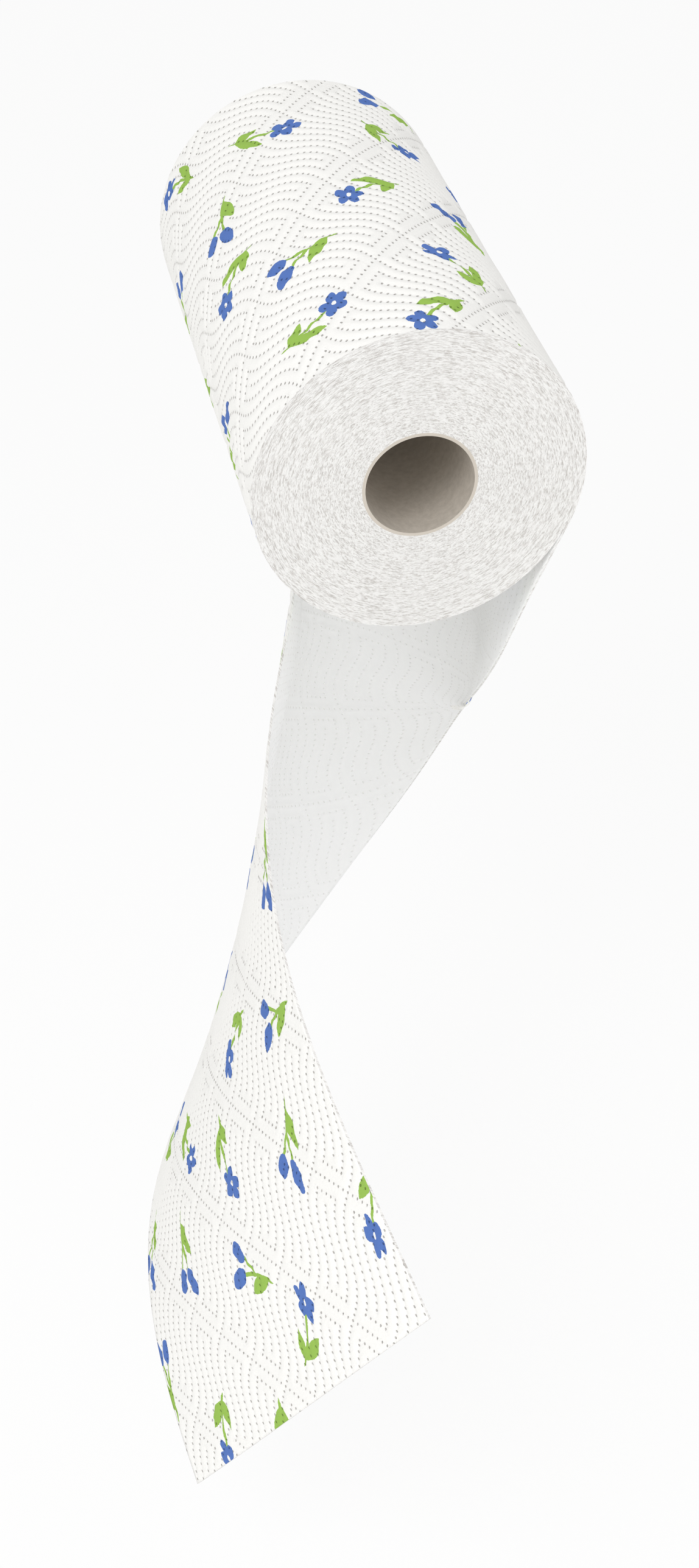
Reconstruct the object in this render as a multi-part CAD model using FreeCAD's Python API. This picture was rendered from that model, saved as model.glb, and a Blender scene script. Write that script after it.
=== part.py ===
"""Paper towel roll with a hanging tail, in millimetres.

The core's axis is the Y axis and its middle is the origin. The roll is two
separate pieces: the cardboard core, and the paper web, whose wound turns and
hanging tail are one sheet.
"""
import FreeCAD, Part
import math
import os

V = FreeCAD.Vector

# Driving dimensions
SHEET_WIDTH = 220.0          # width of the paper
ROLL_RADIUS = 61.5           # outside of the last turn
CORE_BORE_RADIUS = 20.0      # inside of the cardboard core
CORE_WALL = 1.2              # wall of the cardboard core
CORE_LENGTH = 220.0          # cardboard core, end to end
SHEET_THICKNESS = 0.8        # one embossed sheet
LEAVE_DEG = -22.75           # where the tail leaves the roll, up from the +X side
LEAVE_LENGTH = 9.0           # straight length of tail where it leaves
PINCH_DEG = 6.0              # how far the tail still lies on the turn below it
TURN_LINES = 6               # turns that show on each end face
TURN_LINE_DEPTH = 0.35       # depth of the line between two of them
TURN_LINE_WIDTH = 1.8        # width of that line
CUT_OVERRUN = 1.0            # how far the bore's cut runs past each end
TAIL_SECTIONS = 26           # sections that carry the tail's surface
SECTION_STEPS = 10           # steps across each section, an even number
SPIRAL_STEPS = 48            # steps round the last turn's outline

# Stations down the tail's middle line. Each has its share of the way down,
# its place in roll radii from the core's middle, how far its cross direction
# is turned away from +Y, how far that direction climbs, how far the sheet
# curls across, in degrees, and how much more of the curl the near half has.
TAIL_STATIONS = [
    (0.10, 0.96, 0.12, -1.35, -8.0, 4.0, 48.0, -1.85),
    (0.20, 0.79, 0.67, -2.06, 15.0, 18.0, 112.0, -0.31),
    (0.32, 0.02, 0.81, -2.44, 92.0, 66.0, 108.0, 3.20),
    (0.46, -0.61, -0.20, -2.67, 195.0, 76.0, 66.0, 3.35),
    (0.62, -1.02, -1.59, -2.93, 189.0, 72.0, 9.0, 4.19),
    (0.80, -1.59, -3.13, -3.47, 213.0, 64.0, 3.0, 4.85),
    (1.00, -1.37, -4.88, -4.29, 223.0, 62.0, -2.0, 3.78),
]
TAIL_LENGTH_SHARE = 9.55     # slope of the middle line at its start, in roll radii

# Derived dimensions
CORE_RADIUS = CORE_BORE_RADIUS + CORE_WALL
LEAVE = math.radians(LEAVE_DEG)
OUTWARD = V(math.cos(LEAVE), 0, math.sin(LEAVE))
DOWN_LINE = V(math.sin(LEAVE), 0, -math.cos(LEAVE))
MIDDLE_RADIUS = ROLL_RADIUS - SHEET_THICKNESS / 2.0


def curve_through(shares, values, first_slope):
    """Smooth curve through the values, with the given slope at its start."""
    n = len(shares)
    gap = [shares[i + 1] - shares[i] for i in range(n - 1)]
    rise = [(values[i + 1] - values[i]) / gap[i] for i in range(n - 1)]
    low, mid, high, right = [0.0] * n, [0.0] * n, [0.0] * n, [0.0] * n
    mid[0], high[0], right[0] = 2.0 * gap[0], gap[0], 6.0 * (rise[0] - first_slope)
    for i in range(1, n - 1):
        low[i], mid[i], high[i] = gap[i - 1], 2.0 * (gap[i - 1] + gap[i]), gap[i]
        right[i] = 6.0 * (rise[i] - rise[i - 1])
    mid[n - 1] = 1.0
    for i in range(1, n):
        factor = low[i] / mid[i - 1]
        mid[i] -= factor * high[i - 1]
        right[i] -= factor * right[i - 1]
    bend = [0.0] * n
    bend[n - 1] = right[n - 1] / mid[n - 1]
    for i in range(n - 2, -1, -1):
        bend[i] = (right[i] - high[i] * bend[i + 1]) / mid[i]

    def at(share):
        i = 0
        while i < n - 2 and share > shares[i + 1]:
            i += 1
        a, b, h = shares[i + 1] - share, share - shares[i], gap[i]
        value = (bend[i] * a ** 3 + bend[i + 1] * b ** 3) / (6.0 * h)
        value += (values[i] / h - bend[i] * h / 6.0) * a
        value += (values[i + 1] / h - bend[i + 1] * h / 6.0) * b
        slope = (bend[i + 1] * b ** 2 - bend[i] * a ** 2) / (2.0 * h)
        slope += rise[i] - (bend[i + 1] - bend[i]) * h / 6.0
        return value, slope

    return at


def tail_curves():
    """Curves of the tail's middle line and of its cross direction."""
    start = OUTWARD * MIDDLE_RADIUS + DOWN_LINE * LEAVE_LENGTH
    shares = [0.0] + [s[0] for s in TAIL_STATIONS]
    slope = DOWN_LINE * (TAIL_LENGTH_SHARE * ROLL_RADIUS)
    place = []
    for k, (first, first_slope) in enumerate(zip(start, slope)):
        values = [first] + [s[1 + k] * ROLL_RADIUS for s in TAIL_STATIONS]
        place.append(curve_through(shares, values, first_slope))
    bends = []
    for k in (4, 5, 6):
        values = [0.0] + [math.radians(s[k]) for s in TAIL_STATIONS]
        bends.append(curve_through(shares, values, 0.0))
    bends.append(curve_through(shares, [TAIL_STATIONS[0][7]] + [s[7] for s in TAIL_STATIONS], 0.0))
    return place, bends


def tail_section(share, place, bends, lift):
    """Points across the tail at one share of the way down, lifted outward."""
    middle = V(*[p(share)[0] for p in place])
    along = V(*[p(share)[1] for p in place])
    turned, climb, curl, skew = [b(share)[0] for b in bends]
    across = V(-math.sin(turned) * math.cos(climb), math.cos(turned) * math.cos(climb), math.sin(climb))
    outward = along.cross(across)
    outward.normalize()
    half = SECTION_STEPS // 2
    step = SHEET_WIDTH / SECTION_STEPS

    def lean(part):
        return curl * part * (1.0 - skew * part)

    points = {half: middle}
    for way in (-1, 1):
        for k in range(half):
            angle = lean(way * (k + 0.5) / SECTION_STEPS)
            move = across * math.cos(angle) - outward * math.sin(angle)
            points[half + way * (k + 1)] = points[half + way * k] + move * (way * step)
    lifted = []
    for k in range(SECTION_STEPS + 1):
        angle = lean((k - half) / SECTION_STEPS)
        lifted.append(points[k] + (outward * math.cos(angle) + across * math.sin(angle)) * lift)
    return lifted


def smooth_edge(points):
    """Edge of a smooth curve through the points, evenly spaced so that all sections match."""
    curve = Part.BSplineCurve()
    curve.interpolate(Points=points, Parameters=[float(k) for k in range(len(points))])
    return curve.toShape()


def make_tail():
    """Free length of the sheet, from the straight start to the cut end."""
    place, bends = tail_curves()
    half = SHEET_THICKNESS / 2.0
    wires = []
    for i in range(TAIL_SECTIONS + 1):
        share = i / float(TAIL_SECTIONS)
        outer = tail_section(share, place, bends, half)
        inner = tail_section(share, place, bends, -half)
        inner.reverse()
        edges = [smooth_edge(outer), Part.LineSegment(outer[-1], inner[0]).toShape(),
                 smooth_edge(inner), Part.LineSegment(inner[-1], outer[0]).toShape()]
        wires.append(Part.Wire(edges))
    return Part.makeLoft(wires, True, False)


def make_turns():
    """Wound turns, with the last turn running off as the tail's straight start."""
    def at(radius, angle):
        return V(radius * math.cos(angle), -SHEET_WIDTH / 2.0, radius * math.sin(angle))

    inner_radius = ROLL_RADIUS - SHEET_THICKNESS
    pinch = math.radians(PINCH_DEG)
    full = 2.0 * math.pi - pinch
    spiral = []
    for i in range(SPIRAL_STEPS + 1):
        gone = full * i / SPIRAL_STEPS
        spiral.append(at(ROLL_RADIUS - SHEET_THICKNESS * gone / (2.0 * math.pi), LEAVE + gone))
    offset = V(0, -SHEET_WIDTH / 2.0, 0)
    outer_start = OUTWARD * ROLL_RADIUS + offset
    outer_end = outer_start + DOWN_LINE * LEAVE_LENGTH
    inner_end = OUTWARD * inner_radius + DOWN_LINE * LEAVE_LENGTH + offset
    pinch_end = OUTWARD * inner_radius + DOWN_LINE * (inner_radius * math.tan(pinch)) + offset
    curve = Part.BSplineCurve()
    curve.interpolate(spiral)
    outline = Part.Wire([
        Part.LineSegment(outer_end, outer_start).toShape(),
        curve.toShape(),
        Part.LineSegment(spiral[-1], pinch_end).toShape(),
        Part.LineSegment(pinch_end, inner_end).toShape(),
        Part.LineSegment(inner_end, outer_end).toShape(),
    ])
    turns = Part.Face(outline).extrude(V(0, SHEET_WIDTH, 0))
    bore_start = V(0, -SHEET_WIDTH / 2.0 - CUT_OVERRUN, 0)
    bore = Part.makeCylinder(CORE_RADIUS, SHEET_WIDTH + 2.0 * CUT_OVERRUN, bore_start, V(0, 1, 0))
    return turns.cut(bore)


def turn_line_cutters():
    """Shallow rings that show the turns on both end faces."""
    cutters = []
    first = CORE_RADIUS
    pitch = (ROLL_RADIUS - SHEET_THICKNESS - first) / (TURN_LINES + 1.0)
    for k in range(1, TURN_LINES + 1):
        radius = first + pitch * k
        for end in (-1.0, 1.0):
            face = end * SHEET_WIDTH / 2.0
            above = face + end * TURN_LINE_DEPTH
            left = V(radius - TURN_LINE_WIDTH, above, 0)
            points = [left, V(radius, face - end * TURN_LINE_DEPTH, 0), V(radius + TURN_LINE_WIDTH, above, 0), left]
            ring = Part.Face(Part.makePolygon(points)).revolve(V(0, 0, 0), V(0, 1, 0), 360.0)
            cutters.append(ring)
    return cutters


def make_web():
    """The paper: wound turns and tail, one solid."""
    turns = make_turns().cut(turn_line_cutters())
    web = turns.fuse(make_tail()).removeSplitter()
    return web.Solids[0] if len(web.Solids) == 1 else web


def make_core():
    """Cardboard core, open at both ends."""
    start = V(0, -CORE_LENGTH / 2.0, 0)
    axis = V(0, 1, 0)
    return Part.makeCylinder(CORE_RADIUS, CORE_LENGTH, start, axis).cut(
        Part.makeCylinder(CORE_BORE_RADIUS, CORE_LENGTH, start, axis))


os.makedirs("parts", exist_ok=True)
for name, shape in (("core_tube", make_core()), ("towel_web", make_web())):
    print(name, "solids", len(shape.Solids), "valid", shape.isValid(), "volume", round(shape.Volume, 1),
          "box", [round(v, 1) for v in (shape.BoundBox.XMin, shape.BoundBox.YMin, shape.BoundBox.ZMin,
                                        shape.BoundBox.XMax, shape.BoundBox.YMax, shape.BoundBox.ZMax)])
    shape.exportStep("parts/%s.step" % name)
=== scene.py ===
"""Paper towel roll on its cardboard core, with its loose end hanging and curling over.

The wound paper and the hanging tail are one embossed, printed web. A Geometry
Nodes tree makes the quilted web flat, and each surface class lays it on the roll
or along the tail. All sizes are named in millimetres and turned to metres once.
"""

import logging
import math
from dataclasses import dataclass, field
from enum import Enum

import bpy
import numpy as np
from mathutils import Matrix, Vector

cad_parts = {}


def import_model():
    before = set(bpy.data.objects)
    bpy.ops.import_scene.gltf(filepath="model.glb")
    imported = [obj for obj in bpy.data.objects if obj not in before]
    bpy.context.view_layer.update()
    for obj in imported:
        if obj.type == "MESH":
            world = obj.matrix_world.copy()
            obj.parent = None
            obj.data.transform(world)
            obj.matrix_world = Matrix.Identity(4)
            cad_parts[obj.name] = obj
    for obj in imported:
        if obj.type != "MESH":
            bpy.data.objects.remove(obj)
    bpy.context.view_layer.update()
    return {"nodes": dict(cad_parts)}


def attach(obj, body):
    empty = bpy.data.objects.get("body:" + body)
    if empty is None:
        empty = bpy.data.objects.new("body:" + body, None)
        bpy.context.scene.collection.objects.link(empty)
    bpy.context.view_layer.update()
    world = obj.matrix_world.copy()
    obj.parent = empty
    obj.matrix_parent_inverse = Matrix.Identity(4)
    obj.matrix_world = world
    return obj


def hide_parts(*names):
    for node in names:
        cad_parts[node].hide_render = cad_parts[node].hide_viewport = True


MM = 0.001
LOG = logging.getLogger("towel_roll")
UV_NAME = "UVMap"


class Side(Enum):
    """Side of the web that a layer shows."""

    PRINTED = 1
    REVERSE = -1


def linear(code: str) -> tuple[float, float, float, float]:
    """Turn an sRGB hex code into a linear colour.

    Args:
        code: Colour such as "#FAF9F5".

    Returns:
        Linear red, green, blue and an alpha of one.
    """
    parts = [int(code[i:i + 2], 16) / 255.0 for i in (1, 3, 5)]
    values = [p / 12.92 if p <= 0.04045 else ((p + 0.055) / 1.055) ** 2.4 for p in parts]
    return (values[0], values[1], values[2], 1.0)


def add_node(tree: bpy.types.NodeTree, kind: str, inputs: dict | None = None, **settings) -> bpy.types.Node:
    """Add one node, with its settings, values and links.

    Args:
        tree: Node tree that gets the node.
        kind: Node type.
        inputs: Value, socket or node for each input, by its name or place.
        settings: Attributes of the node.

    Returns:
        The new node.
    """
    node = tree.nodes.new(kind)
    for name, value in settings.items():
        setattr(node, name, value)
    for key, value in (inputs or {}).items():
        if isinstance(value, bpy.types.Node):
            value = value.outputs[0]
        if isinstance(value, bpy.types.NodeSocket):
            tree.links.new(value, node.inputs[key])
        else:
            node.inputs[key].default_value = value
    return node


def start_tree(name: str, inputs: dict) -> tuple[bpy.types.NodeTree, bpy.types.bpy_prop_collection]:
    """Start a Geometry Nodes tree.

    Args:
        name: Name of the tree.
        inputs: Labels of the named inputs, by their kind.

    Returns:
        The tree and the sockets of its named inputs.
    """
    tree = bpy.data.node_groups.new(name, "GeometryNodeTree")
    tree.interface.new_socket("Geometry", in_out="OUTPUT", socket_type="NodeSocketGeometry")
    for kind, labels in inputs.items():
        for label in labels:
            tree.interface.new_socket(label, in_out="INPUT", socket_type="NodeSocket" + kind)
    return tree, tree.nodes.new("NodeGroupInput").outputs


def close_tree(tree: bpy.types.NodeTree, shape: bpy.types.Node, material: bpy.types.NodeSocket) -> None:
    """Shade a tree's shape smooth, realize it, dress it and send it out.

    Args:
        tree: Geometry Nodes tree.
        shape: Node with the finished shape.
        material: Input with the material.
    """
    smooth = add_node(tree, "GeometryNodeSetShadeSmooth", {"Geometry": shape})
    real = add_node(tree, "GeometryNodeRealizeInstances", {"Geometry": smooth})
    dressed = add_node(tree, "GeometryNodeSetMaterial", {"Geometry": real, "Material": material})
    add_node(tree, "NodeGroupOutput", {"Geometry": dressed})


@dataclass(frozen=True)
class Quilting:
    """Embossed pattern of pressed dots: straight rows, and swinging columns in nested blocks between them.

    Sizes are in millimetres. The last five say, in pitches, how far from its
    edges a block's middle and inner columns and its short bars of dots lie.
    """

    row_deg: float = -39.0
    pitch: float = 2.85
    block_dots: int = 8
    span: float = 45.7
    column_dots: int = 18
    swing: float = 3.2
    drift: float = 4.9
    origin: tuple = (-7.1, -0.7, 0.0)
    dot_across: float = 0.42
    dot_along: float = 0.3
    middle_reach: float = 3.0
    middle_start: float = 2.3
    inner_start: float = 3.2
    bar_place: float = 1.95
    bar_margin: float = 1.6

    def steps(self) -> tuple:
        """Name, operation and inputs of each step from a place on the web to its nearest column and row."""
        far = 99.0
        return (
            ("phase", "MULTIPLY", "rise", math.tau / self.span),
            ("sine", "SINE", "phase"),
            ("swung", "MULTIPLY_ADD", "sine", -self.swing, "run"),
            ("level", "MULTIPLY_ADD", "rise", -self.drift / self.span, "swung"),
            ("from_row", "PINGPONG", "rise", self.span / 2.0),
            ("from_block", "PINGPONG", "level", self.pitch * self.block_dots / 2.0),
            ("outer", "LESS_THAN", "from_block", self.pitch),
            ("near_edge", "LESS_THAN", "from_block", self.middle_reach * self.pitch),
            ("past_bar", "GREATER_THAN", "from_row", self.middle_start * self.pitch),
            ("middle", "MULTIPLY", "near_edge", "past_bar"),
            ("inner", "GREATER_THAN", "from_row", self.inner_start * self.pitch),
            ("outer_or_middle", "ADD", "outer", "middle"),
            ("any", "ADD", "outer_or_middle", "inner"),
            ("none", "LESS_THAN", "any", 0.5),
            ("from_column", "PINGPONG", "level", self.pitch),
            ("column", "MULTIPLY_ADD", "none", far, "from_column"),
            ("column_dot", "PINGPONG", "rise", self.span / self.column_dots / 2.0),
            ("to_bar", "SUBTRACT", "from_row", self.bar_place * self.pitch),
            ("from_bar", "ABSOLUTE", "to_bar"),
            ("past_end", "LESS_THAN", "from_block", self.bar_margin * self.pitch),
            ("bar", "MULTIPLY_ADD", "past_end", far, "from_bar"),
            ("row", "MINIMUM", "bar", "from_row"),
            ("row_dot", "PINGPONG", "level", self.pitch / 2.0),
        )

    def dots_and_rows(self, tree: bpy.types.NodeTree,
                      flat: bpy.types.Node) -> tuple[bpy.types.Node, bpy.types.Node]:
        """Measure a place on the flat web against the pressed dots and their rows.

        Args:
            tree: Shader or geometry tree that gets the nodes.
            flat: Place on the flat web in millimetres.

        Returns:
            Distance from the nearest dot, in dot radii, and distance from the nearest row, in millimetres.
        """
        cos, sin = math.cos(math.radians(self.row_deg)), math.sin(math.radians(self.row_deg))
        local = add_node(tree, "ShaderNodeVectorMath", {0: flat, 1: self.origin}, operation="SUBTRACT")
        found = {}
        for name, way in (("run", (cos, sin, 0.0)), ("rise", (-sin, cos, 0.0))):
            dot = add_node(tree, "ShaderNodeVectorMath", {0: local, 1: way}, operation="DOT_PRODUCT")
            found[name] = dot.outputs["Value"]
        for name, operation, *inputs in self.steps():
            values = {k: found.get(value, value) for k, value in enumerate(inputs)}
            found[name] = add_node(tree, "ShaderNodeMath", values, operation=operation)
        size = (1.0 / self.dot_across, 1.0 / self.dot_along, 1.0)
        reach = {}
        for k, line in enumerate(("column", "row")):
            offset = add_node(tree, "ShaderNodeCombineXYZ", {0: found[line], 1: found[line + "_dot"]})
            ratio = add_node(tree, "ShaderNodeVectorMath", {0: offset, 1: size}, operation="MULTIPLY")
            length = add_node(tree, "ShaderNodeVectorMath", {0: ratio}, operation="LENGTH")
            reach[k] = length.outputs["Value"]
        lines = {0: found["column"], 1: found["row"]}
        return (add_node(tree, "ShaderNodeMath", reach, operation="MINIMUM"),
                add_node(tree, "ShaderNodeMath", lines, operation="MINIMUM"))


@dataclass(frozen=True)
class Towel:
    """Sizes of the web, the roll and the tail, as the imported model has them.

    Each station of the tail has its share of the length, its place in roll radii,
    its turn, climb and curl in degrees, and the skew of its curl.
    """

    width: float = 220.0
    roll_radius: float = 61.5
    core_radius: float = 21.2
    thickness: float = 0.8
    leave_deg: float = -22.75
    leave_length: float = 9.0
    pinch_deg: float = 6.0
    length_share: float = 9.55
    stations: tuple = (
        (0.10, 0.96, 0.12, -1.35, -8.0, 4.0, 48.0, -1.85),
        (0.20, 0.79, 0.67, -2.06, 15.0, 18.0, 112.0, -0.31),
        (0.32, 0.02, 0.81, -2.44, 92.0, 66.0, 108.0, 3.20),
        (0.46, -0.61, -0.20, -2.67, 195.0, 76.0, 66.0, 3.35),
        (0.62, -1.02, -1.59, -2.93, 189.0, 72.0, 9.0, 4.19),
        (0.80, -1.59, -3.13, -3.47, 213.0, 64.0, 3.0, 4.85),
        (1.00, -1.37, -4.88, -4.29, 223.0, 62.0, -2.0, 3.78),
    )

    @property
    def leave(self) -> float:
        """Angle at which the tail leaves the roll, in radians."""
        return math.radians(self.leave_deg)

    @property
    def outward(self) -> np.ndarray:
        """Direction from the axis to the line where the tail leaves."""
        return np.array([math.cos(self.leave), 0.0, math.sin(self.leave)])

    @property
    def down_line(self) -> np.ndarray:
        """Direction in which the tail leaves."""
        return np.array([math.sin(self.leave), 0.0, -math.cos(self.leave)])


class SmoothCurve:
    """Cubic curve through values, with a given slope at its start and none of its bend left at its end."""

    def __init__(self, shares: np.ndarray, values: np.ndarray, first_slope: float) -> None:
        """Solve the curve's bends.

        Args:
            shares: Places of the values.
            values: Values to pass through.
            first_slope: Slope at the first value.
        """
        n = len(shares)
        self.shares, self.values = np.array(shares), np.array(values)
        gap, rise = np.diff(self.shares), np.diff(self.values) / np.diff(self.shares)
        matrix, right = np.zeros((n, n)), np.zeros(n)
        matrix[0, 0], matrix[0, 1], right[0] = 2.0 * gap[0], gap[0], 6.0 * (rise[0] - first_slope)
        for i in range(1, n - 1):
            matrix[i, i - 1:i + 2] = gap[i - 1], 2.0 * (gap[i - 1] + gap[i]), gap[i]
            right[i] = 6.0 * (rise[i] - rise[i - 1])
        matrix[n - 1, n - 1] = 1.0
        self.bend = np.linalg.solve(matrix, right)

    def at(self, share: np.ndarray) -> tuple[np.ndarray, np.ndarray]:
        """Value and slope of the curve.

        Args:
            share: Places to look at.

        Returns:
            Values and slopes there.
        """
        i = np.clip(np.searchsorted(self.shares, share, side="left") - 1, 0, len(self.shares) - 2)
        h = self.shares[i + 1] - self.shares[i]
        a, b = self.shares[i + 1] - share, share - self.shares[i]
        m0, m1, v0, v1 = self.bend[i], self.bend[i + 1], self.values[i], self.values[i + 1]
        value = (m0 * a ** 3 + m1 * b ** 3) / (6 * h) + (v0 / h - m0 * h / 6) * a + (v1 / h - m1 * h / 6) * b
        slope = (m1 * b ** 2 - m0 * a ** 2) / (2 * h) + (v1 - v0) / h - (m1 - m0) * h / 6
        return value, slope


@dataclass
class WebTree:
    """Geometry Nodes tree that makes a flat quilted web."""

    quilting: Quilting = field(default_factory=Quilting)
    name: str = "quilted_web"
    pillow_start: float = 0.2
    pillow_end: float = 2.6
    wave_scale: float = 26.0

    def build(self) -> bpy.types.NodeTree:
        """Build the tree: a grid, pressed with the quilting and softly waved.

        Returns:
            The node tree, with named inputs.
        """
        tree, given = start_tree(self.name, {
            "Float": ("Width", "Length", "Start", "Quilt Depth", "Wave Depth"),
            "Int": ("Columns", "Rows"), "Material": ("Material",)})
        grid = add_node(tree, "GeometryNodeMeshGrid", {
            "Size X": given["Width"], "Size Y": given["Length"],
            "Vertices X": given["Columns"], "Vertices Y": given["Rows"]})
        place = add_node(tree, "ShaderNodeSeparateXYZ", {0: add_node(tree, "GeometryNodeInputPosition")})
        across = add_node(tree, "ShaderNodeMath", {0: given["Width"], 1: 0.5, 2: place.outputs[0]},
                          operation="MULTIPLY_ADD")
        from_start = add_node(tree, "ShaderNodeMath", {0: given["Length"], 1: 0.5, 2: place.outputs[1]},
                              operation="MULTIPLY_ADD")
        along = add_node(tree, "ShaderNodeMath", {0: from_start, 1: given["Start"]}, operation="ADD")
        flat = add_node(tree, "ShaderNodeCombineXYZ", {0: across, 1: along})
        in_mm = add_node(tree, "ShaderNodeVectorMath", {0: flat, "Scale": 1.0 / MM}, operation="SCALE")
        _, from_row = self.quilting.dots_and_rows(tree, in_mm)
        pillow = add_node(tree, "ShaderNodeMapRange", {
            "Value": from_row, "From Min": self.pillow_start, "From Max": self.pillow_end},
            interpolation_type="SMOOTHSTEP")
        quilt = add_node(tree, "ShaderNodeMath", {0: pillow, 1: given["Quilt Depth"]}, operation="MULTIPLY")
        wave = add_node(tree, "ShaderNodeTexNoise", {
            "Vector": flat, "Scale": self.wave_scale, "Detail": 1.0})
        wave = add_node(tree, "ShaderNodeMath", {0: wave, 1: 0.5}, operation="SUBTRACT")
        height = add_node(tree, "ShaderNodeMath", {
            0: wave, 1: given["Wave Depth"], 2: quilt}, operation="MULTIPLY_ADD")
        offset = add_node(tree, "ShaderNodeCombineXYZ", {2: height})
        marked = add_node(tree, "GeometryNodeStoreNamedAttribute", {
            "Geometry": grid.outputs["Mesh"], "Name": UV_NAME, "Value": flat},
            data_type="FLOAT2", domain="CORNER")
        moved = add_node(tree, "GeometryNodeSetPosition", {"Geometry": marked, "Offset": offset})
        close_tree(tree, moved, given["Material"])
        return tree


@dataclass
class EndTree:
    """Geometry Nodes tree that makes one end of the wound turns, with its cut edges standing unevenly."""

    name: str = "wound_end"
    rings: int = 84
    spokes: int = 260
    ring_rate: float = 160.0
    grain_scale: float = 7.0

    def build(self) -> bpy.types.NodeTree:
        """Build the tree: a ring of fine uneven steps in the XY plane, facing +Z.

        Returns:
            The node tree, with named inputs.
        """
        tree, given = start_tree(self.name, {
            "Float": ("Inner Radius", "Outer Radius", "Spiral Step", "Grain Depth", "Seed"),
            "Material": ("Material",)})
        grid = add_node(tree, "GeometryNodeMeshGrid", {
            "Size X": 1.0, "Size Y": 1.0, "Vertices X": self.rings, "Vertices Y": self.spokes})
        place = add_node(tree, "ShaderNodeSeparateXYZ", {0: add_node(tree, "GeometryNodeInputPosition")})
        share = add_node(tree, "ShaderNodeMath", {0: place.outputs[0], 1: 0.5}, operation="ADD")
        turn = add_node(tree, "ShaderNodeMath", {0: place.outputs[1], 1: 0.5}, operation="ADD")
        angle = add_node(tree, "ShaderNodeMath", {0: turn, 1: math.tau}, operation="MULTIPLY")
        shrink = add_node(tree, "ShaderNodeMath", {0: turn, 1: given["Spiral Step"]}, operation="MULTIPLY")
        outer = add_node(tree, "ShaderNodeMath", {0: given["Outer Radius"], 1: shrink}, operation="SUBTRACT")
        radius = add_node(tree, "ShaderNodeMapRange", {
            "Value": share, "To Min": given["Inner Radius"], "To Max": outer})
        cos = add_node(tree, "ShaderNodeMath", {0: angle}, operation="COSINE")
        sin = add_node(tree, "ShaderNodeMath", {0: angle}, operation="SINE")
        fine = add_node(tree, "ShaderNodeMath", {0: radius, 1: self.ring_rate}, operation="MULTIPLY")
        around = add_node(tree, "ShaderNodeCombineXYZ", {0: cos, 1: sin, 2: fine})
        grain = add_node(tree, "ShaderNodeTexNoise", {
            "Vector": around, "W": given["Seed"], "Scale": self.grain_scale, "Detail": 2.0},
            noise_dimensions="4D")
        grain = add_node(tree, "ShaderNodeMath", {0: grain, 1: 0.5}, operation="SUBTRACT")
        rise = add_node(tree, "ShaderNodeMath", {0: grain, 1: given["Grain Depth"]}, operation="MULTIPLY")
        east = add_node(tree, "ShaderNodeMath", {0: cos, 1: radius}, operation="MULTIPLY")
        north = add_node(tree, "ShaderNodeMath", {0: sin, 1: radius}, operation="MULTIPLY")
        spot = add_node(tree, "ShaderNodeCombineXYZ", {0: east, 1: north, 2: rise})
        moved = add_node(tree, "GeometryNodeSetPosition", {
            "Geometry": grid.outputs["Mesh"], "Position": spot})
        close_tree(tree, moved, given["Material"])
        return tree


def mesh_from_tree(tree: bpy.types.NodeTree, inputs: dict, name: str) -> bpy.types.Mesh:
    """Run a Geometry Nodes tree once and keep its result as a plain mesh.

    Args:
        tree: Tree to run.
        inputs: Value for each named input.
        name: Name of the new mesh.

    Returns:
        The evaluated mesh.
    """
    holder = bpy.data.objects.new(name, bpy.data.meshes.new(name))
    bpy.context.scene.collection.objects.link(holder)
    modifier = holder.modifiers.new(name, "NODES")
    modifier.node_group = tree
    for item in tree.interface.items_tree:
        if item.in_out == "INPUT":
            modifier[item.identifier] = inputs[item.name]
    graph = bpy.context.evaluated_depsgraph_get()
    mesh = bpy.data.meshes.new_from_object(holder.evaluated_get(graph), depsgraph=graph)
    bpy.data.objects.remove(holder)
    mesh.name = name
    return mesh


def coordinates(mesh: bpy.types.Mesh) -> np.ndarray:
    """Vertex coordinates of a mesh as an array of rows."""
    flat = np.empty(len(mesh.vertices) * 3, dtype=np.float32)
    mesh.vertices.foreach_get("co", flat)
    return flat.reshape(-1, 3).astype(float)


def add_piece(mesh: bpy.types.Mesh, name: str) -> bpy.types.Object:
    """Put a mesh in the scene as an object at the origin.

    Args:
        mesh: Finished mesh.
        name: Name of the piece.

    Returns:
        The new object.
    """
    piece = bpy.data.objects.new(name, mesh)
    bpy.context.scene.collection.objects.link(piece)
    return piece


def start_material(name: str, values: dict) -> tuple[bpy.types.Material, bpy.types.Node]:
    """Start a material.

    Args:
        name: Name of the material.
        values: Constant for each of the shader's own inputs, by its name.

    Returns:
        The material and its Principled shader.
    """
    material = bpy.data.materials.new(name)
    material.use_nodes = True
    shader = material.node_tree.nodes["Principled BSDF"]
    for key, value in values.items():
        shader.inputs[key].default_value = value
    return material, shader


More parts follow.
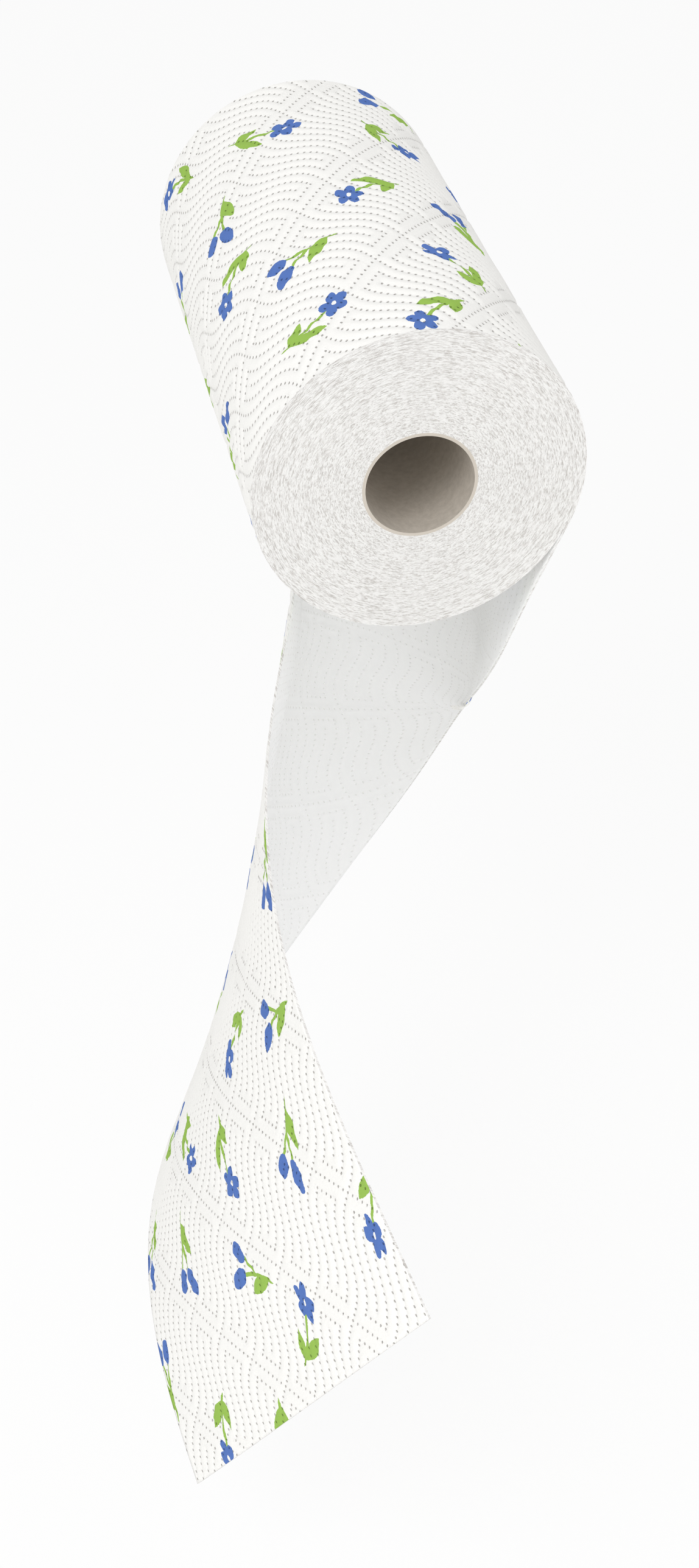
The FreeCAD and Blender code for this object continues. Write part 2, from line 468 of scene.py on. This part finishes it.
@dataclass(frozen=True)
class TissueFinish:
    """Two-ply airlaid tissue: soft, quite matt, never glossy, with painted shade darkening its pressed dots.

    Depths, widths and reaches are in millimetres. A dot's depth and its painted shade
    are full inside its core and gone outside its halo, both in dot radii.
    """

    name: str
    side: Side
    paper: str
    # Colour of the painted shade in the pressed dots, and how strongly it is laid over the paper
    pit_shade: str
    pit_shade_strength: float
    emboss_depth: float
    groove: float
    glow: float = 0.0
    glow_reach: float = 4.0
    dot_core: float = 0.2
    dot_halo: float = 1.7
    groove_width: float = 1.4
    fluff_scale: float = 820.0
    fluff_share: float = 0.35

    def build(self, quilting: Quilting, print_ink: "PrintInk") -> bpy.types.Material:
        """Build the material.

        Args:
            quilting: Embossed pattern.
            print_ink: Print, which only the printed side gets.

        Returns:
            The material.
        """
        # Daylight comes through the thin sheet, so a glowing side looks bright in the shade
        material, shader = start_material(self.name, {
            "Roughness": 0.92, "IOR": 1.45, "Specular IOR Level": 0.15, "Subsurface Weight": self.glow,
            "Subsurface Radius": (1.0, 1.0, 1.0), "Subsurface Scale": self.glow_reach * MM})
        tree = material.node_tree
        uv = add_node(tree, "ShaderNodeUVMap", uv_map=UV_NAME)
        flat = add_node(tree, "ShaderNodeVectorMath", {0: uv, "Scale": 1.0 / MM}, operation="SCALE")
        from_dot, from_row = quilting.dots_and_rows(tree, flat)
        # Mask of the pressed dots, which drives both their bump and their painted shade
        pit_shade = add_node(tree, "ShaderNodeMapRange", {
            "Value": from_dot, "From Min": self.dot_core, "From Max": self.dot_halo,
            "To Min": 1.0, "To Max": 0.0}, interpolation_type="SMOOTHSTEP")
        groove = add_node(tree, "ShaderNodeMapRange", {
            "Value": from_row, "From Min": 0.0, "From Max": self.groove_width,
            "To Min": self.groove, "To Max": 0.0}, interpolation_type="SMOOTHSTEP")
        pressed = add_node(tree, "ShaderNodeMath", {0: pit_shade, 1: groove}, operation="ADD")
        position = add_node(tree, "ShaderNodeTexCoord").outputs["Object"]
        # Fibre clumps about 1.2 mm across, drawn coarser than real fibres so that they show
        fluff = add_node(tree, "ShaderNodeTexNoise", {
            "Vector": position, "Scale": self.fluff_scale, "Detail": 4.0, "Roughness": 0.65})
        colour = linear(self.paper)
        if self.side is Side.PRINTED:
            colour = print_ink.lay(tree, flat, colour)
        # Painted shade: the pressed dots are darkened in the base colour, since the bump alone casts no
        # shade into them
        shade = add_node(tree, "ShaderNodeMath", {0: pit_shade, 1: self.pit_shade_strength}, operation="MULTIPLY")
        shaded = add_node(tree, "ShaderNodeMix", {0: shade, 6: colour, 7: linear(self.pit_shade)},
                          data_type="RGBA", blend_type="MULTIPLY")
        tree.links.new(shaded.outputs[2], shader.inputs["Base Color"])
        puff = add_node(tree, "ShaderNodeMath", {0: fluff, 1: self.fluff_share}, operation="MULTIPLY")
        sink = add_node(tree, "ShaderNodeMath", {0: puff, 1: pressed}, operation="SUBTRACT")
        bump = add_node(tree, "ShaderNodeBump", {
            "Height": sink, "Strength": 1.0, "Distance": self.emboss_depth * MM})
        tree.links.new(bump.outputs[0], shader.inputs["Normal"])
        return material


@dataclass(frozen=True)
class PrintInk:
    """Water-based print in two flat inks: sprigs of small blossoms and buds, scattered at every angle.

    Sizes are in millimetres. Two powers, across and along, give each kind of shape
    its outline: one across makes it pointed, two make it round, more make it full.
    """

    blue: str = "#5B7BC0"
    green: str = "#9CC25A"
    cell: float = 50.0
    row_turn_deg: float = 24.0
    scatter: float = 0.4
    stem_bend: float = 0.012
    feathering: float = 0.5
    feather_scale: float = 1.3
    stem: tuple = (1.0, 9.0)
    leaf: tuple = (1.0, 2.0)
    bud: tuple = (2.0, 2.0)
    bud_share: float = 0.5
    petals: int = 5
    petal_depth: float = 0.42
    eye: float = 0.16

    def lay(self, tree: bpy.types.NodeTree, flat: bpy.types.Node,
            paper: tuple[float, float, float, float]) -> bpy.types.NodeSocket:
        """Lay the print over the paper's colour.

        Args:
            tree: Node tree.
            flat: Place on the flat web in millimetres.
            paper: Colour of the bare paper.

        Returns:
            Socket with the printed colour.
        """
        feather = add_node(tree, "ShaderNodeTexNoise", {
            "Vector": flat, "Scale": self.feather_scale, "Detail": 1.0})
        feather = add_node(tree, "ShaderNodeVectorMath", {
            0: feather.outputs["Color"], "Scale": self.feathering}, operation="SCALE")
        flat = add_node(tree, "ShaderNodeVectorMath", {0: flat, 1: feather}, operation="ADD")
        flat = add_node(tree, "ShaderNodeVectorRotate", {
            "Vector": flat, "Angle": math.radians(self.row_turn_deg)}, rotation_type="Z_AXIS")
        cells = add_node(tree, "ShaderNodeVectorMath", {0: flat, "Scale": 1.0 / self.cell},
                         operation="SCALE")
        spots = add_node(tree, "ShaderNodeTexVoronoi", {
            "Vector": cells, "Scale": 1.0, "Randomness": self.scatter}, voronoi_dimensions="2D")
        offset = add_node(tree, "ShaderNodeVectorMath", {0: cells, 1: spots.outputs["Position"]},
                          operation="SUBTRACT")
        local = add_node(tree, "ShaderNodeVectorMath", {0: offset, "Scale": self.cell}, operation="SCALE")
        chance = add_node(tree, "ShaderNodeSeparateColor", {0: spots.outputs["Color"]})
        angle = add_node(tree, "ShaderNodeMath", {0: chance.outputs[0], 1: 2.0 * math.tau},
                         operation="MULTIPLY")
        turned = add_node(tree, "ShaderNodeVectorRotate", {"Vector": local, "Angle": angle},
                          rotation_type="Z_AXIS")
        side, along = add_node(tree, "ShaderNodeSeparateXYZ", {0: turned}).outputs[:2]
        square = add_node(tree, "ShaderNodeMath", {0: along, 1: along}, operation="MULTIPLY")
        bent = add_node(tree, "ShaderNodeMath", {0: square, 1: self.stem_bend, 2: side},
                        operation="MULTIPLY_ADD")
        motif = add_node(tree, "ShaderNodeCombineXYZ", {0: bent, 1: along})
        blossom_green = self.shapes(tree, motif, (
            (0, -3.0, 0, 0.75, 12.0, self.stem), (3.8, -4.5, -27, 2.6, 7.6, self.leaf),
            (-3.0, -7.0, 32, 2.3, 6.0, self.leaf)))
        blossom_blue = self.rosette(tree, motif, (0.4, 11.0), 6.6)
        bud_green = self.shapes(tree, motif, (
            (0, -3.5, 0, 0.75, 12.5, self.stem), (3.6, 1.2, -38, 0.7, 7.2, self.stem),
            (-3.2, -5.0, 26, 2.7, 8.2, self.leaf)))
        bud_blue = self.shapes(tree, motif, (
            (-0.2, 11.2, 4, 3.4, 5.7, self.bud), (8.3, 8.0, -42, 3.1, 5.1, self.bud)))
        is_bud = add_node(tree, "ShaderNodeMath", {0: chance.outputs[1], 1: 1.0 - self.bud_share},
                          operation="GREATER_THAN")
        colour = paper
        for blossom, bud, ink in (
                (blossom_green, bud_green, self.green), (blossom_blue, bud_blue, self.blue)):
            distance = add_node(tree, "ShaderNodeMix", {0: is_bud, 2: blossom, 3: bud}, data_type="FLOAT")
            inside = add_node(tree, "ShaderNodeMath", {0: distance, 1: 1.0}, operation="LESS_THAN")
            colour = add_node(tree, "ShaderNodeMix", {0: inside, 6: colour, 7: linear(ink)},
                              data_type="RGBA").outputs[2]
        return colour

    def shapes(self, tree: bpy.types.NodeTree, motif: bpy.types.Node, shapes: tuple) -> bpy.types.Node:
        """Draw pointed leaves, thin stems or closed oval buds.

        Args:
            tree: Node tree.
            motif: Place in the sprig in millimetres.
            shapes: Middle, angle in degrees, half width, half length and powers of each.

        Returns:
            Node that gives less than one inside any of them.
        """
        joined = None
        for x, y, angle, wide, long, powers in shapes:
            own = add_node(tree, "ShaderNodeMapping", {
                "Vector": motif, "Location": (x, y, 0.0), "Rotation": (0.0, 0.0, math.radians(angle)),
                "Scale": (wide, long, 1.0)}, vector_type="TEXTURE")
            parts = add_node(tree, "ShaderNodeSeparateXYZ", {0: own}).outputs
            terms = {}
            for k, power in enumerate(powers):
                reach = add_node(tree, "ShaderNodeMath", {0: parts[k]}, operation="ABSOLUTE")
                terms[k] = add_node(tree, "ShaderNodeMath", {0: reach, 1: power}, operation="POWER")
            shape = add_node(tree, "ShaderNodeMath", terms, operation="ADD")
            joined = shape if joined is None else add_node(
                tree, "ShaderNodeMath", {0: joined, 1: shape}, operation="MINIMUM")
        return joined

    def rosette(self, tree: bpy.types.NodeTree, motif: bpy.types.Node, middle: tuple,
                radius: float) -> bpy.types.Node:
        """Draw an open blossom of five rounded petals.

        Args:
            tree: Node tree.
            motif: Place in the sprig in millimetres.
            middle: Middle of the blossom.
            radius: Reach of its petals.

        Returns:
            Node that gives less than one inside the petals.
        """
        own = add_node(tree, "ShaderNodeMapping", {
            "Vector": motif, "Location": (middle[0], middle[1], 0.0), "Scale": (radius, radius, 1.0)},
            vector_type="TEXTURE")
        side, along = add_node(tree, "ShaderNodeSeparateXYZ", {0: own}).outputs[:2]
        bearing = add_node(tree, "ShaderNodeMath", {0: side, 1: along}, operation="ARCTAN2")
        waves = add_node(tree, "ShaderNodeMath", {0: bearing, 1: self.petals / 2.0}, operation="MULTIPLY")
        lobe = add_node(tree, "ShaderNodeMath", {0: waves}, operation="COSINE")
        lobe = add_node(tree, "ShaderNodeMath", {0: lobe}, operation="ABSOLUTE")
        reach = add_node(tree, "ShaderNodeMath", {0: lobe, 1: self.petal_depth, 2: 1.0 - self.petal_depth},
                         operation="MULTIPLY_ADD")
        away = add_node(tree, "ShaderNodeVectorMath", {0: own}, operation="LENGTH").outputs["Value"]
        petals = add_node(tree, "ShaderNodeMath", {0: away, 1: reach}, operation="DIVIDE")
        eye = add_node(tree, "ShaderNodeMath", {0: away, 1: self.eye}, operation="LESS_THAN")
        return add_node(tree, "ShaderNodeMath", {0: petals, 1: eye}, operation="ADD")


@dataclass(frozen=True)
class EndGrainFinish:
    """Cut edges of the wound tissue: a felt of short fibres that run round the roll.

    The streaks are 0.3 to 0.5 mm wide and a few millimetres long, coarser than
    real fibres so that they show. Each kind has its number of streaks for each
    radian round the roll and for each metre outwards.
    """

    name: str = "cut_tissue_edges"
    light: str = "#F1F0EE"
    shadow: str = "#C6C2BE"
    streaks: tuple = ((14.0, 1900.0), (32.0, 3400.0))
    darkest: float = 0.78
    lightest: float = 1.06
    relief: float = 0.32

    def build(self) -> bpy.types.Material:
        """Build the material from two kinds of streaks."""
        material, shader = start_material(self.name, {
            "Roughness": 0.95, "IOR": 1.45, "Specular IOR Level": 0.1})
        tree = material.node_tree
        position = add_node(tree, "ShaderNodeTexCoord").outputs["Object"]
        place = add_node(tree, "ShaderNodeSeparateXYZ", {0: position})
        level = add_node(tree, "ShaderNodeCombineXYZ", {0: place.outputs[0], 1: place.outputs[2]})
        way = add_node(tree, "ShaderNodeVectorMath", {0: level}, operation="NORMALIZE")
        radius = add_node(tree, "ShaderNodeVectorMath", {0: level}, operation="LENGTH").outputs["Value"]
        layers = {}
        for k, (around, out) in enumerate(self.streaks):
            spread = add_node(tree, "ShaderNodeVectorMath", {0: way, "Scale": around}, operation="SCALE")
            fine = add_node(tree, "ShaderNodeMath", {0: radius, 1: out}, operation="MULTIPLY")
            lift = add_node(tree, "ShaderNodeCombineXYZ", {2: fine})
            point = add_node(tree, "ShaderNodeVectorMath", {0: spread, 1: lift}, operation="ADD")
            layers[k] = add_node(tree, "ShaderNodeTexNoise", {
                "Vector": point, "Scale": 1.0, "Detail": 3.0, "Roughness": 0.6, "Distortion": 0.5})
        mixed = add_node(tree, "ShaderNodeMath", layers, operation="ADD")
        tone = add_node(tree, "ShaderNodeMapRange", {
            "Value": mixed, "From Min": self.darkest, "From Max": self.lightest})
        colour = add_node(tree, "ShaderNodeMix", {0: tone, 6: linear(self.shadow), 7: linear(self.light)},
                          data_type="RGBA")
        tree.links.new(colour.outputs[2], shader.inputs["Base Color"])
        bump = add_node(tree, "ShaderNodeBump", {
            "Height": mixed, "Strength": 1.0, "Distance": self.relief * MM})
        tree.links.new(bump.outputs[0], shader.inputs["Normal"])
        return material


@dataclass(frozen=True)
class GreyboardFinish:
    """Spirally wound recycled greyboard: matt taupe with darker flecks of about 2 mm, plain where cut."""

    name: str = "wound_greyboard"
    wall: str = "#CDC5BA"
    fleck: str = "#BFB7AC"
    cut: str = "#C8C0B5"
    fleck_scale: float = 420.0
    darkest: float = 0.35
    lightest: float = 0.65
    cut_facing: float = 0.7
    relief: float = 0.15

    def build(self) -> bpy.types.Material:
        """Build the material: a flecked wall, and a plain cut edge that faces along the core."""
        material, shader = start_material(self.name, {
            "Roughness": 0.88, "IOR": 1.45, "Specular IOR Level": 0.25})
        tree = material.node_tree
        position = add_node(tree, "ShaderNodeTexCoord").outputs["Object"]
        flecks = add_node(tree, "ShaderNodeTexNoise", {
            "Vector": position, "Scale": self.fleck_scale, "Detail": 5.0, "Roughness": 0.7})
        tone = add_node(tree, "ShaderNodeMapRange", {
            "Value": flecks, "From Min": self.darkest, "From Max": self.lightest})
        wall = add_node(tree, "ShaderNodeMix", {0: tone, 6: linear(self.fleck), 7: linear(self.wall)},
                        data_type="RGBA")
        normal = add_node(tree, "ShaderNodeNewGeometry").outputs["Normal"]
        facing = add_node(tree, "ShaderNodeSeparateXYZ", {0: normal})
        end_on = add_node(tree, "ShaderNodeMath", {0: facing.outputs[1]}, operation="ABSOLUTE")
        is_cut = add_node(tree, "ShaderNodeMath", {0: end_on, 1: self.cut_facing}, operation="GREATER_THAN")
        colour = add_node(tree, "ShaderNodeMix", {0: is_cut, 6: wall.outputs[2], 7: linear(self.cut)},
                          data_type="RGBA")
        tree.links.new(colour.outputs[2], shader.inputs["Base Color"])
        bump = add_node(tree, "ShaderNodeBump", {
            "Height": flecks, "Strength": 0.6, "Distance": self.relief * MM})
        tree.links.new(bump.outputs[0], shader.inputs["Normal"])
        return material


@dataclass
class WoundTurns:
    """The wound part of the web: its printed outer turn and its two ends."""

    towel: Towel
    grid_step: float = 1.05
    quilt_depth: float = 0.55
    wave_depth: float = 0.5
    grain_depth: float = 0.5
    quilt_sink: float = 0.35
    grain_sink: float = 0.15
    settle_angle: float = 0.12
    edge_fade: float = 3.0
    rim_fade: float = 1.0
    core_overlap: float = 0.05
    seed: float = 3.0

    def outer_turn(self, tree: bpy.types.NodeTree, material: bpy.types.Material) -> bpy.types.Object:
        """Wrap a quilted web once round the roll.

        Args:
            tree: Tree that makes the flat web.
            material: Finish of the printed side.

        Returns:
            The piece.
        """
        towel = self.towel
        full = math.tau - math.radians(towel.pinch_deg)
        length = full * towel.roll_radius
        mesh = mesh_from_tree(tree, {
            "Width": towel.width * MM, "Length": length * MM, "Start": 0.0,
            "Quilt Depth": self.quilt_depth * MM, "Wave Depth": self.wave_depth * MM,
            "Columns": round(towel.width / self.grid_step) + 1, "Rows": round(length / self.grid_step) + 1,
            "Material": material}, "outer_turn")
        flat = coordinates(mesh) / MM
        gone = (flat[:, 1] + length / 2.0) / towel.roll_radius
        settle = np.clip(np.minimum(gone, full - gone) / self.settle_angle, 0.0, 1.0)
        settle *= np.clip((towel.width / 2.0 - np.abs(flat[:, 0])) / self.edge_fade, 0.0, 1.0)
        radius = towel.roll_radius - towel.thickness * gone / math.tau
        radius += (flat[:, 2] - self.quilt_sink) * settle
        angle = towel.leave + gone
        placed = np.stack([radius * np.cos(angle), flat[:, 0], radius * np.sin(angle)], axis=1)
        mesh.vertices.foreach_set("co", (placed * MM).astype(np.float32).ravel())
        mesh.update()
        return add_piece(mesh, "outer_turn")

    def end(self, tree: bpy.types.NodeTree, material: bpy.types.Material, way: int,
            name: str) -> bpy.types.Object:
        """Make one end of the wound turns.

        Args:
            tree: Tree that makes a wound end.
            material: Finish of the cut edges.
            way: Minus one for the near end, one for the far end.
            name: Name of the piece.

        Returns:
            The piece.
        """
        towel = self.towel
        mesh = mesh_from_tree(tree, {
            "Inner Radius": (towel.core_radius - self.core_overlap) * MM,
            "Outer Radius": towel.roll_radius * MM, "Spiral Step": towel.thickness * MM,
            "Grain Depth": self.grain_depth * MM, "Seed": self.seed + way, "Material": material}, name)
        flat = coordinates(mesh) / MM
        bearing = np.arctan2(flat[:, 1], flat[:, 0])
        turn = bearing + towel.leave
        radius = np.hypot(flat[:, 0], flat[:, 1])
        outline = towel.roll_radius - towel.thickness * np.mod(bearing, math.tau) / math.tau
        fade = np.clip(np.minimum(outline - radius, radius - towel.core_radius) / self.rim_fade, 0.0, 1.0)
        side = way * (towel.width / 2.0 + (flat[:, 2] - self.grain_sink) * fade)
        placed = np.stack([radius * np.cos(turn), side, radius * np.sin(turn)], axis=1)
        mesh.vertices.foreach_set("co", (placed * MM).astype(np.float32).ravel())
        if way > 0:
            mesh.flip_normals()
        mesh.update()
        return add_piece(mesh, name)


@dataclass
class HangingTail:
    """The free length of the web, from the roll to its straight cut end."""

    towel: Towel
    grid_step: float = 1.7
    quilt_depth: float = 0.55
    wave_depth: float = 0.8
    relief_sink: float = 0.3
    edge_fade: float = 5.0
    start_fade: float = 12.0
    line_points: int = 400

    def curves(self) -> tuple[list[SmoothCurve], list[SmoothCurve]]:
        """Curves of the middle line, and of the turn, climb, curl and skew of the cross direction."""
        towel, radius = self.towel, self.towel.roll_radius
        shares = [0.0] + [s[0] for s in towel.stations]
        start = towel.outward * (radius - towel.thickness / 2.0)
        start += towel.down_line * towel.leave_length
        slope = towel.down_line * towel.length_share * radius
        place = [SmoothCurve(shares, [start[k]] + [s[1 + k] * radius for s in towel.stations], slope[k])
                 for k in range(3)]
        bends = [SmoothCurve(shares, [0.0] + [math.radians(s[k]) for s in towel.stations], 0.0)
                 for k in (4, 5, 6)]
        bends.append(SmoothCurve(shares, [towel.stations[0][7]] + [s[7] for s in towel.stations], 0.0))
        return place, bends

    def middle_length(self) -> float:
        """Length of the middle line after its straight start, in millimetres."""
        place, _ = self.curves()
        shares = np.linspace(0.0, 1.0, self.line_points)
        line = np.stack([curve.at(shares)[0] for curve in place], axis=1)
        return float(np.linalg.norm(np.diff(line, axis=0), axis=1).sum())

    def lay(self, across: np.ndarray, down: np.ndarray, lift: np.ndarray) -> np.ndarray:
        """Lay a flat grid along the tail.

        Args:
            across: Evenly spaced places across the sheet, from its near edge.
            down: Places down the sheet, from where it leaves the roll.
            lift: Height over the sheet's middle for each row and column.

        Returns:
            A point for each row and column, in millimetres.
        """
        towel = self.towel
        place, bends = self.curves()
        share = np.clip((down - towel.leave_length) / self.middle_length(), 0.0, 1.0)
        middle = np.stack([c.at(share)[0] for c in place], axis=1)
        middle += towel.down_line * np.minimum(down - towel.leave_length, 0.0)[:, None]
        heading = np.stack([c.at(share)[1] for c in place], axis=1)
        turned, climb, curl, skew = [c.at(share)[0][:, None] for c in bends]
        cross = np.stack([-np.sin(turned) * np.cos(climb), np.cos(turned) * np.cos(climb), np.sin(climb)],
                         axis=2)[:, 0]
        outward = np.cross(heading, cross)
        outward /= np.linalg.norm(outward, axis=1)[:, None]
        part = across[None, :] / towel.width - 0.5
        between = 0.5 * (part[:, 1:] + part[:, :-1])
        lean = curl * between * (1.0 - skew * between)
        step = np.diff(across)[None, :]
        before = ((0, 0), (1, 0))
        side = np.pad(np.cumsum(step * np.cos(lean), axis=1), before)
        sink = np.pad(np.cumsum(-step * np.sin(lean), axis=1), before)
        centre = len(across) // 2
        side -= side[:, centre:centre + 1]
        sink -= sink[:, centre:centre + 1]
        lean = curl * part * (1.0 - skew * part)
        points = middle[:, None, :] + cross[:, None, :] * side[..., None]
        points += outward[:, None, :] * sink[..., None]
        facing = outward[:, None, :] * np.cos(lean)[..., None] + cross[:, None, :] * np.sin(lean)[..., None]
        return points + facing * lift[..., None]

    def build(self, tree: bpy.types.NodeTree, printed: bpy.types.Material,
              reverse: bpy.types.Material, edges: bpy.types.Material) -> bpy.types.Object:
        """Make the tail as one thin sheet with a printed side, a reverse side and cut edges.

        Args:
            tree: Tree that makes the flat web.
            printed: Finish of the printed side.
            reverse: Finish of the reverse side.
            edges: Finish of the cut edges.

        Returns:
            The piece.
        """
        towel = self.towel
        length = towel.leave_length + self.middle_length()
        columns = 2 * round(towel.width / self.grid_step / 2.0) + 1
        rows = round(length / self.grid_step) + 1
        mesh = mesh_from_tree(tree, {
            "Width": towel.width * MM, "Length": length * MM, "Start": -length * MM,
            "Quilt Depth": self.quilt_depth * MM, "Wave Depth": self.wave_depth * MM,
            "Columns": columns, "Rows": rows, "Material": printed}, "hanging_tail")
        flat = coordinates(mesh) / MM
        column = np.rint((flat[:, 0] / towel.width + 0.5) * (columns - 1)).astype(int)
        row = np.rint((0.5 - flat[:, 1] / length) * (rows - 1)).astype(int)
        relief = np.zeros((rows, columns))
        relief[row, column] = flat[:, 2] - self.relief_sink
        down = np.linspace(0.0, length, rows)
        across = np.linspace(0.0, towel.width, columns)
        from_end = np.minimum(down / self.start_fade, (length - down) / self.edge_fade)
        from_side = np.minimum(across, towel.width - across) / self.edge_fade
        relief *= np.clip(from_end, 0.0, 1.0)[:, None]
        relief *= np.clip(from_side, 0.0, 1.0)[None, :]
        half = towel.thickness / 2.0
        front, back = (self.lay(across, down, relief + side.value * half)[row, column] * MM
                       for side in Side)
        return add_piece(self.close(mesh, front, back, (printed, reverse, edges)), "hanging_tail")

    def close(self, mesh: bpy.types.Mesh, front: np.ndarray, back: np.ndarray,
              finishes: tuple[bpy.types.Material, ...]) -> bpy.types.Mesh:
        """Join the printed layer, its reverse and the cut edges into one closed sheet.

        Args:
            mesh: Flat web, whose faces and map the sheet repeats.
            front: Points of the printed side.
            back: Points of the reverse side.
            finishes: Finishes of the printed side, the reverse side and the cut edges.

        Returns:
            The closed mesh.
        """
        count = len(mesh.vertices)
        faces = np.empty(len(mesh.loops), dtype=np.int32)
        mesh.loops.foreach_get("vertex_index", faces)
        faces = faces.reshape(-1, 4)
        uv = np.empty(len(mesh.loops) * 2, dtype=np.float32)
        mesh.uv_layers[UV_NAME].data.foreach_get("uv", uv)
        uv = uv.reshape(-1, 4, 2)
        edges = {}
        for k, face in enumerate(faces.tolist()):
            for i in range(4):
                edges[(face[i], face[(i + 1) % 4])] = (k, i)
        rim, rim_uv = [], []
        for (a, b), (k, i) in edges.items():
            if (b, a) not in edges:
                rim.append((b, a, a + count, b + count))
                first, second = uv[k, i], uv[k, (i + 1) % 4]
                rim_uv.append((second, first, first, second))
        all_faces = np.concatenate([faces, faces[:, ::-1] + count, np.array(rim)])
        all_uv = np.concatenate([uv, uv[:, ::-1], np.array(rim_uv)])
        closed = bpy.data.meshes.new("hanging_tail")
        closed.from_pydata(np.concatenate([front, back]).tolist(), [], all_faces.tolist())
        layer = closed.uv_layers.new(name=UV_NAME)
        layer.data.foreach_set("uv", all_uv.astype(np.float32).ravel())
        for finish in finishes:
            closed.materials.append(finish)
        marks = np.repeat(np.arange(3, dtype=np.int32), (len(faces), len(faces), len(rim)))
        closed.polygons.foreach_set("material_index", marks)
        closed.polygons.foreach_set("use_smooth", np.arange(len(all_faces)) < 2 * len(faces))
        closed.update()
        return closed


@dataclass
class Studio:
    """Plain pale floor, soft light and the camera, with places in metres."""

    floor_height: float = -0.43
    floor_reach: float = 6.0
    floor_colour: str = "#F6F6F5"
    floor_whitening: float = 0.85
    sky: float = 0.74
    lamps: tuple = (("key", (-0.75, -0.75, 1.15), 0.8, 7.0), ("fill", (0.1, -1.35, 0.1), 0.9, 4.0))
    lamp_aim: tuple = (0.0, -0.05, -0.08)
    camera_place: tuple = (-0.1580, -0.7182, 0.3951)
    camera_right: tuple = (0.9772, -0.2125, 0.0)
    camera_forward: tuple = (0.1618, 0.7442, -0.6481)
    focal_px: float = 3397.5
    image_height_px: float = 2576.0
    sensor: float = 36.0

    def camera(self) -> None:
        """Set the camera at the photograph's place and angle."""
        data = bpy.data.cameras.new("camera")
        data.sensor_width = self.sensor
        data.lens = self.focal_px * self.sensor / self.image_height_px
        eye = bpy.data.objects.new("camera", data)
        right = Vector(self.camera_right).normalized()
        forward = Vector(self.camera_forward).normalized()
        up = right.cross(forward).normalized()
        turn = Matrix((right, up, -forward)).transposed()
        eye.matrix_world = Matrix.Translation(self.camera_place) @ turn.to_4x4()
        bpy.context.scene.collection.objects.link(eye)
        bpy.context.scene.camera = eye

    def lights(self) -> None:
        """Light the object softly from the upper left, with an even sky."""
        world = bpy.data.worlds.new("sky")
        bpy.context.scene.world = world
        world.use_nodes = True
        tree = world.node_tree
        tree.nodes.clear()
        path = add_node(tree, "ShaderNodeLightPath")
        seen = path.outputs["Is Camera Ray"]
        for ray in ("Is Glossy Ray", "Is Transmission Ray"):
            seen = add_node(tree, "ShaderNodeMath", {0: seen, 1: path.outputs[ray]}, operation="MAXIMUM")
        level = add_node(tree, "ShaderNodeMapRange", {"Value": seen, "To Min": self.sky, "To Max": 1.0})
        glow = add_node(tree, "ShaderNodeBackground", {"Color": (1.0, 1.0, 1.0, 1.0), "Strength": level})
        add_node(tree, "ShaderNodeOutputWorld", {"Surface": glow})
        for name, place, size, power in self.lamps:
            lamp = bpy.data.lights.new(name, "AREA")
            lamp.size = size
            lamp.energy = power
            thing = bpy.data.objects.new(name, lamp)
            thing.location = place
            aim = Vector(self.lamp_aim) - Vector(place)
            thing.rotation_euler = aim.to_track_quat("-Z", "Y").to_euler()
            bpy.context.scene.collection.objects.link(thing)

    def floor(self) -> None:
        """Lay a plain pale floor that keeps the object's shadow."""
        mesh = bpy.data.meshes.new("floor")
        corners = [(x * self.floor_reach, y * self.floor_reach, self.floor_height)
                   for x, y in ((-1, -1), (1, -1), (1, 1), (-1, 1))]
        mesh.from_pydata(corners, [], [(0, 1, 2, 3)])
        material, paint = start_material("pale_floor", {
            "Base Color": linear(self.floor_colour), "Roughness": 0.95})
        tree = material.node_tree
        path = add_node(tree, "ShaderNodeLightPath")
        seen = add_node(tree, "ShaderNodeMath", {0: path.outputs["Is Camera Ray"], 1: self.floor_whitening},
                        operation="MULTIPLY")
        white = add_node(tree, "ShaderNodeEmission", {"Strength": 1.0})
        mixed = add_node(tree, "ShaderNodeMixShader", {0: seen, 1: paint, 2: white})
        tree.links.new(mixed.outputs[0], tree.nodes["Material Output"].inputs["Surface"])
        mesh.materials.append(material)
        add_piece(mesh, "floor")


def main() -> None:
    """Build, dress and stage the paper towel roll."""
    logging.basicConfig(level=logging.INFO, format="%(name)s: %(message)s")
    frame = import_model()
    studio = Studio()
    studio.camera()
    studio.lights()
    studio.floor()
    bpy.context.scene.view_settings.view_transform = "Standard"

    towel, quilting, ink = Towel(), Quilting(), PrintInk()
    # The pit colours and strengths are painted shade laid into the pressed dots of each side
    printed = TissueFinish(
        "printed_tissue", Side.PRINTED, paper="#FBFAF7", pit_shade="#CFCBC6", pit_shade_strength=0.9,
        emboss_depth=0.65, groove=0.25).build(quilting, ink)
    reverse = TissueFinish(
        "tissue_reverse", Side.REVERSE, paper="#FCFCFA", pit_shade="#CDC9C3", pit_shade_strength=0.5,
        emboss_depth=0.35, groove=0.3, glow=0.9).build(quilting, ink)
    edges = EndGrainFinish().build()
    board = GreyboardFinish().build()

    core = frame["nodes"]["core_tube"]
    core.data.materials.clear()
    core.data.materials.append(board)
    LOG.info("core dressed")

    web_tree, end_tree = WebTree(quilting).build(), EndTree().build()
    turns = WoundTurns(towel)
    pieces = [turns.outer_turn(web_tree, printed),
              turns.end(end_tree, edges, -1, "near_end"),
              turns.end(end_tree, edges, 1, "far_end")]
    tail = HangingTail(towel)
    sheet = tail.build(web_tree, printed, reverse, edges)
    pieces.append(sheet)
    for piece in pieces:
        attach(piece, "root")
        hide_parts("towel_web")
        LOG.info("%s: %d faces", piece.name, len(piece.data.polygons))
    length = (towel.leave_length + tail.middle_length()) * MM


if __name__ == "__main__":
    main()
